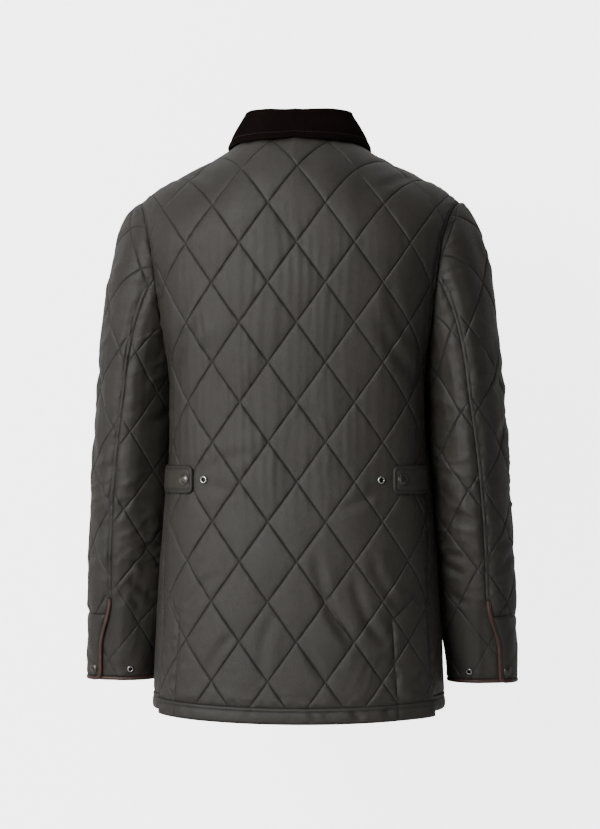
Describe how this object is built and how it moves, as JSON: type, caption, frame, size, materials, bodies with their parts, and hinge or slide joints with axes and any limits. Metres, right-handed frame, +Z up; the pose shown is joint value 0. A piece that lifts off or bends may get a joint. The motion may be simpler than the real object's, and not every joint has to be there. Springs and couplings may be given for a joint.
{
  "type": "quilted jacket",
  "caption": "Hip-length diamond-quilted jacket with a corduroy fall collar, snapped waist tabs, side vents and leather-bound snap cuffs, filled out as worn.",
  "frame": {"origin": "the middle of the neck opening, level with the shoulder seams at the side of the neck, where the wearer's neck and shoulders hold the jacket", "axes": "+Z up along the body; +Y out of the front; +X to the wearer's right. The pictured back faces -Y."},
  "size_m": [0.607, 0.2915, 0.8334],
  "materials": {
    "shell": "waxed cotton, diamond quilted, soft sheen",
    "corduroy": "fine-rib corduroy, matte",
    "binding": "smooth brown leather, slightly worn",
    "snap_metal": "antiqued nickel snaps"
  },
  "bodies": {
    "root": {"back": "shell", "hem_band_back": "shell", "front_placket": "shell", "front_right": "shell", "front_left": "shell", "hem_band_front_right": "shell", "hem_band_front_left": "shell", "upper_sleeve_right": "shell", "upper_sleeve_left": "shell", "under_sleeve_right": "shell", "under_sleeve_left": "shell", "cuff_band_right": "shell", "cuff_band_left": "shell", "tab_right": "shell", "tab_left": "shell", "collar_stand": "corduroy", "collar_fall": "corduroy", "cuff_binding_right": "binding", "cuff_binding_left": "binding", "under_cuff_binding_right": "binding", "under_cuff_binding_left": "binding", "tab_cap_right": "snap_metal", "tab_cap_left": "snap_metal", "tab_socket_right": "snap_metal", "tab_socket_left": "snap_metal", "cuff_cap_right": "snap_metal", "cuff_cap_left": "snap_metal", "cuff_stud_right": "snap_metal", "cuff_stud_left": "snap_metal", "front_cap_1": "snap_metal", "front_cap_2": "snap_metal", "front_cap_3": "snap_metal", "front_cap_4": "snap_metal", "front_cap_5": "snap_metal", "front_cap_6": "snap_metal"}
  },
  "joints": []
}
